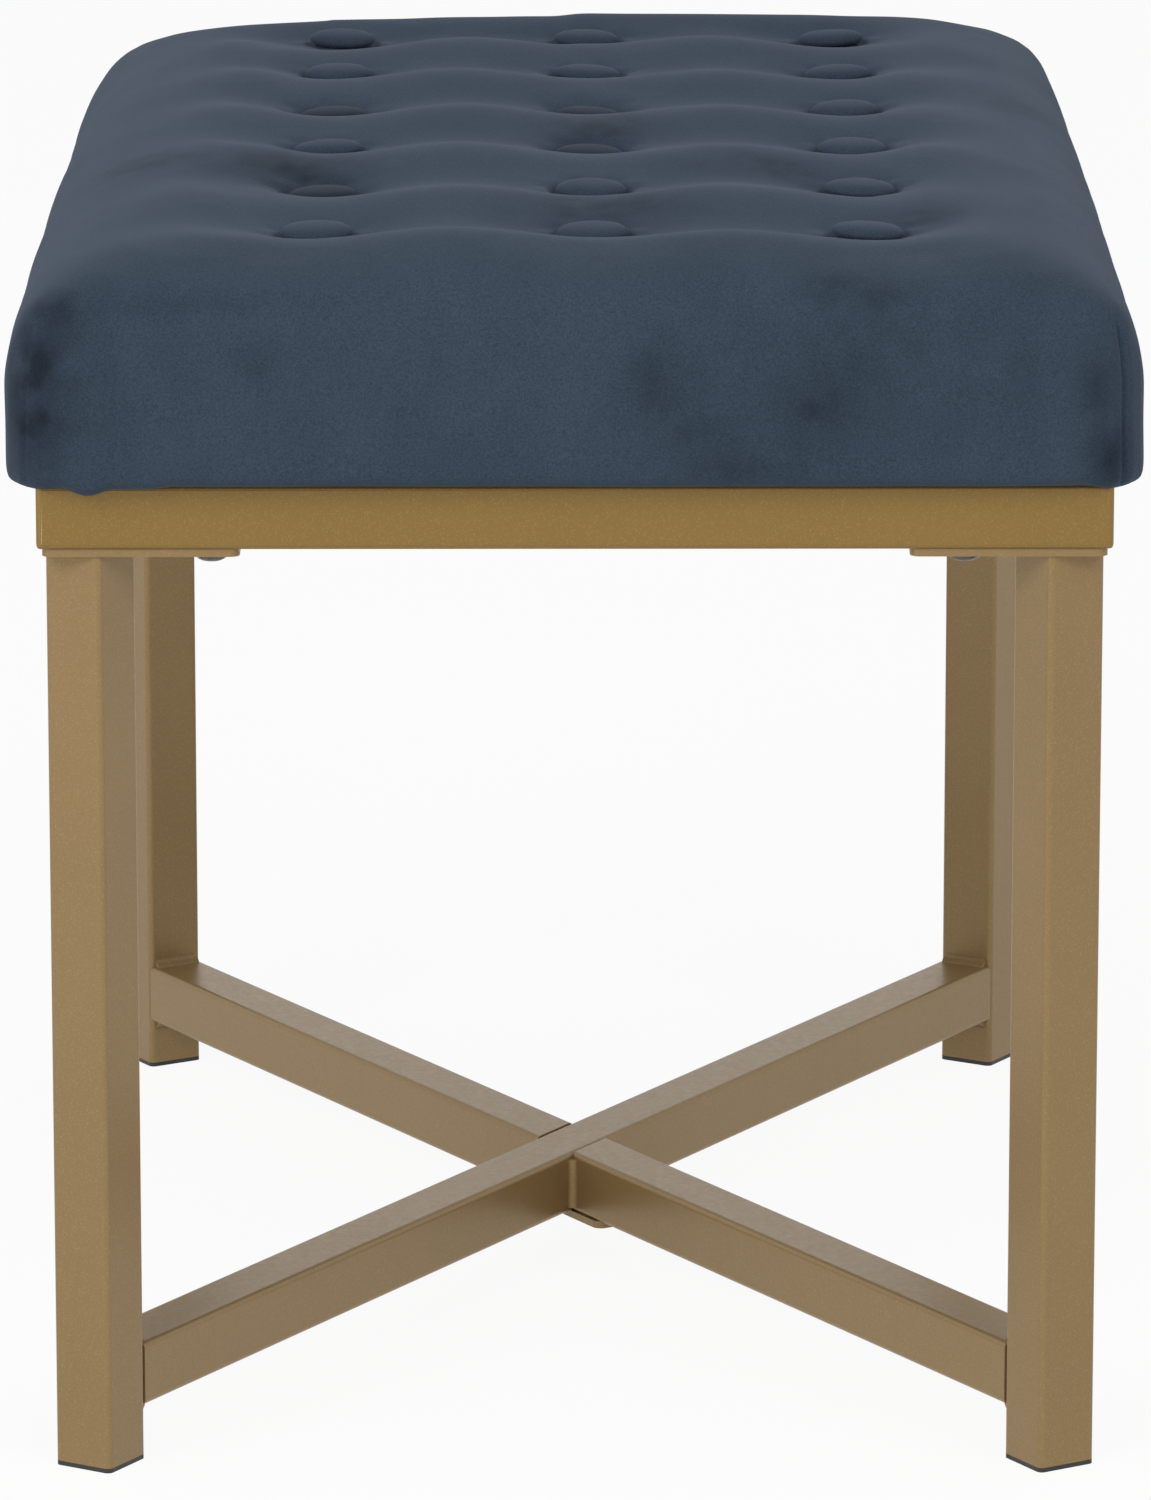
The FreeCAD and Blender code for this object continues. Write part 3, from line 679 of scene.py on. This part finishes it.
nap_and_sink_shade = cushion.verts.layers.float.new("nap_and_sink_shade")
for vertex in cushion.verts:
    spot = vertex.co.copy()
    rise = spot.z - cushion_low
    vertex[nap_and_sink_shade] = nap_mark(spot)
    vertex.co.x -= math.copysign(side_lean(spot, rise), spot.x)
    outward = Vector((max(abs(spot.x) - corner_x, 0) * math.copysign(1, spot.x),
                      max(abs(spot.y) - corner_y, 0) * math.copysign(1, spot.y), 0))
    if outward.length > corner_margin:
        outward.normalize()
        pull, fade = seam_pull(spot, rise)
        vertex.co -= outward * pull * fade
    near = nearest_button(spot.x, spot.y)[0]
    if rise > top_rise and near < tuft_reach:
        vertex.co.z -= tuft_folds(spot, near)
    soft, free = soft_surface(spot, rise, near)
    vertex.co += vertex.normal * soft * free
    vertex.co.z -= hem_hang(spot, rise)
velvet_cushion.data.clear_geometry()
cushion.to_mesh(velvet_cushion.data)
cushion.free()

velvet, tree, surface, place = add_material("slate_velvet", (0.05, 0.07, 0.10), 0.9)
brushed = add_node(tree, "Mapping", {"Vector": place, "Rotation": (0.3, 0.5, 0.6),
                                     "Scale": (1.0, 0.6, 0.6)})
blotch = add_node(tree, "TexNoise", {"Vector": brushed.outputs["Vector"], "Scale": 26.0, "Detail": 5.0,
                                     "Roughness": 0.6, "Distortion": 0.5})
cloud = add_node(tree, "MapRange", {"Value": blotch.outputs["Fac"], "From Min": 0.36, "From Max": 0.66})
base_tone = add_node(tree, "Mix", {"Factor": cloud.outputs["Result"], "A": (0.0390, 0.0575, 0.0840, 1),
                                   "B": (0.0340, 0.0505, 0.0750, 1)}, data_type="RGBA")
# The attribute holds the cushion's nap marks, and on the buttons also painted shade that deepens with each
# button's sink. Both are mixed toward the one dark tone below.
nap_and_shade_mask = add_node(tree, "Attribute", attribute_name="nap_and_sink_shade")
nap_and_shade_tone = add_node(tree, "Mix", {"Factor": nap_and_shade_mask.outputs["Fac"], "A": base_tone.outputs["Result"],
                               "B": (0.0100, 0.0160, 0.0250, 1)}, data_type="RGBA")
pile = add_node(tree, "TexNoise", {"Vector": place, "Scale": 1300.0, "Detail": 2.0, "Roughness": 0.6})
pile_shade = add_node(tree, "MapRange", {"Value": pile.outputs["Fac"], "From Min": 0.3, "From Max": 0.7,
                                         "To Min": 0.76, "To Max": 1.24})
grained = add_node(tree, "HueSaturation", {"Value": pile_shade.outputs["Result"],
                                           "Color": nap_and_shade_tone.outputs["Result"]})
tree.links.new(grained.outputs["Color"], surface.inputs["Base Color"])
bump = add_node(tree, "Bump", {"Strength": 0.4, "Distance": 0.0004, "Height": pile.outputs["Fac"]})
tree.links.new(bump.outputs["Normal"], surface.inputs["Normal"])
surface.inputs["Sheen Weight"].default_value = 0.095
surface.inputs["Sheen Roughness"].default_value = 0.5
surface.inputs["Sheen Tint"].default_value = (0.70, 0.82, 1.0, 1)
surface.inputs["Specular IOR Level"].default_value = 0.12
finish_piece(velvet_cushion, velvet, "velvet", "velvet_cover")


# The covered buttons: pressed metal shells wrapped in the same velvet, low domes that sit in the
# tufts, each tipped a little by its twine.
dome = ((0.0, 0.0035), (0.0050, 0.0034), (0.0088, 0.0030), (0.0114, 0.0024), (0.0131, 0.0015),
        (0.0140, 0.0004), (0.0141, -0.0004), (0.0135, -0.0014), (0.0118, -0.0024), (0.0, -0.0024))
button_steps = 40
button_width = 0.028
side_tip = 0.0014
end_tip = 0.0007
button_nap = 0.12
fully_shaded_sink = 0.0034
covered = bmesh.new()
nap_and_sink_shade = covered.verts.layers.float.new("nap_and_sink_shade")
for count, (x, y, sink) in enumerate(button_spots):
    level = cushion_low + button_level - sink
    before = set(covered.verts)
    spun(covered, (x, y), [(reach, level + rise) for reach, rise in dome], button_steps)
    fresh = [vertex for vertex in covered.verts if vertex not in before]
    tip_x = side_tip * math.sin(count * 2.3 + 0.4)
    tip_y = end_tip * math.sin(count * 1.7 + 1.1)
    for vertex in fresh:
        vertex.co.z += (tip_x * (vertex.co.x - x) + tip_y * (vertex.co.y - y)) / button_width
        # Each button's mark value is a small even nap tone plus painted shade that grows with its sink, so
        # deeper buttons come out darker in their tufts.
        vertex[nap_and_sink_shade] = button_nap + sink / fully_shaded_sink
bmesh.ops.remove_doubles(covered, verts=covered.verts, dist=merge_gap)
bmesh.ops.recalc_face_normals(covered, faces=covered.faces)
velvet_buttons = linked("velvet_buttons", covered)
finish_piece(velvet_buttons, velvet, "velvet", "buttons")


# The dust cover: black non-woven cloth stretched over the underside of the board inside the rails,
# held by a row of wire staples all round.
cloth_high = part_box("dust_cover")[1]
cloth_gap = 0.0003
cloth_sag = 0.0030
cloth_ripple = 0.0003
cloth_wall = 0.0004
dust_cloth = bmesh.new()
bmesh.ops.create_grid(dust_cloth, x_segments=44, y_segments=74, size=1)
for vertex in dust_cloth.verts:
    x = vertex.co.x * cloth_high.x
    y = vertex.co.y * cloth_high.y
    slack = (1 - vertex.co.x ** 2) * (1 - vertex.co.y ** 2)
    ripple = math.sin(x * 61 + y * 23) * math.sin(y * 47 - x * 19)
    vertex.co = (x, y, cloth_high.z - cloth_gap - cloth_sag * slack ** 0.5 - cloth_ripple * ripple * slack)
dust_sheet = linked("dust_sheet", dust_cloth)
wall = dust_sheet.modifiers.new("cloth", "SOLIDIFY")
wall.thickness = cloth_wall
wall.offset = 0
black_cloth, tree, surface, place = add_material("black_cloth", (0.02, 0.02, 0.021), 0.95)
fibres = add_node(tree, "TexNoise", {"Vector": place, "Scale": 700.0, "Detail": 4.0, "Distortion": 2.0})
dots = add_node(tree, "TexVoronoi", {"Vector": place, "Scale": 450.0}, feature="SMOOTH_F1")
mottle = add_node(tree, "Mix", {"Factor": fibres.outputs["Fac"], "A": (0.012, 0.012, 0.013, 1),
                                "B": (0.045, 0.045, 0.048, 1)}, data_type="RGBA")
bump = add_node(tree, "Bump", {"Strength": 0.5, "Distance": 0.0003, "Height": dots.outputs["Distance"]})
tree.links.new(mottle.outputs["Result"], surface.inputs["Base Color"])
tree.links.new(bump.outputs["Normal"], surface.inputs["Normal"])
finish_piece(dust_sheet, black_cloth, "dust_cloth", "dust_cover")

staple_length = 0.0100
staple_width = 0.0010
staple_height = 0.0005
staple_drop = 0.0009
staple_inset = 0.0070
staple_tilt = 0.12
end_pitches = 4.4
side_pitches = 7.4
staples = bmesh.new()


def staple(x, y, run):
    made = bmesh.ops.create_cube(staples, size=1)["verts"]
    bmesh.ops.scale(staples, vec=(staple_length, staple_width, staple_height), verts=made)
    turn = Vector((1, 0, 0)).rotation_difference(run.normalized()).to_matrix()
    bmesh.ops.rotate(staples, cent=(0, 0, 0), matrix=turn, verts=made)
    bmesh.ops.translate(staples, vec=(x, y, cloth_high.z - staple_drop), verts=made)


reach_x = cloth_high.x - staple_inset
reach_y = cloth_high.y - staple_inset
for step in range(-4, 5):
    for side in (-1, 1):
        tilt = staple_tilt * math.sin(step * 3.1 + side)
        staple(step * reach_x / end_pitches, side * reach_y, Vector((1, tilt, 0)))
for step in range(-7, 8):
    for side in (-1, 1):
        tilt = staple_tilt * math.sin(step * 2.7 + side)
        staple(side * reach_x, step * reach_y / side_pitches, Vector((tilt, 1, 0)))
dust_staples = linked("dust_staples", staples)
finish_piece(dust_staples, zinc, "bolt_steel")


# The studio: a pale seamless floor that keeps the shadow of the bench, and soft boxes overhead and
# at both sides. Floor and room are plain white to the camera and in gloss reflections.
def background_rays(tree):
    rays = add_node(tree, "LightPath")
    direct = add_node(tree, "Math", {0: rays.outputs["Is Camera Ray"], 1: rays.outputs["Is Glossy Ray"]},
                      operation="MAXIMUM")
    return add_node(tree, "Math", {0: direct.outputs["Value"], 1: rays.outputs["Is Transmission Ray"]},
                    operation="MAXIMUM").outputs["Value"]


floor_reach = 12
floor_glow = 0.92
shaded_room = 0.42
floor = bmesh.new()
bmesh.ops.create_grid(floor, x_segments=1, y_segments=1, size=floor_reach)
studio_floor = linked("studio_floor", floor)
floor_white, tree, surface, _ = add_material("floor_white", (0.92, 0.92, 0.92), 0.9)
glow = add_node(tree, "Emission", {"Color": (1, 1, 1, 1), "Strength": 1.0})
seen = add_node(tree, "Math", {0: background_rays(tree), 1: floor_glow}, operation="MULTIPLY")
blend = add_node(tree, "MixShader", {0: seen.outputs["Value"], 1: surface.outputs["BSDF"],
                                     2: glow.outputs["Emission"]})
tree.links.new(blend.outputs["Shader"], tree.nodes["Material Output"].inputs["Surface"])
studio_floor.data.materials.append(floor_white)

world = bpy.data.worlds.new("studio")
world.use_nodes = True
bpy.context.scene.world = world
tree = world.node_tree
strength = add_node(tree, "MapRange", {"Value": background_rays(tree), "To Min": shaded_room, "To Max": 1.0})
tree.links.new(strength.outputs["Result"], tree.nodes["Background"].inputs["Strength"])
tree.nodes["Background"].inputs["Color"].default_value = (1, 1, 1, 1)

soft_boxes = (
    ("overhead_box", (0.0, -0.3, 2.6), 2.4, 4.0),
    ("left_box", (-1.8, -2.8, 2.5), 1.6, 56.0),
    ("right_box", (1.9, -2.7, 2.5), 1.6, 36.0),
    ("low_left_box", (-2.4, -2.0, 0.35), 1.2, 7.0),
)
aim = Vector((0, 0, 0.3))
for name, spot, size, power in soft_boxes:
    lamp = bpy.data.lights.new(name, "AREA")
    lamp.size = size
    lamp.energy = power
    box_light = bpy.data.objects.new(name, lamp)
    box_light.location = spot
    box_light.rotation_euler = (aim - Vector(spot)).to_track_quat("-Z", "Y").to_euler()
    bpy.context.scene.collection.objects.link(box_light)

bpy.context.scene.view_settings.view_transform = "Standard"
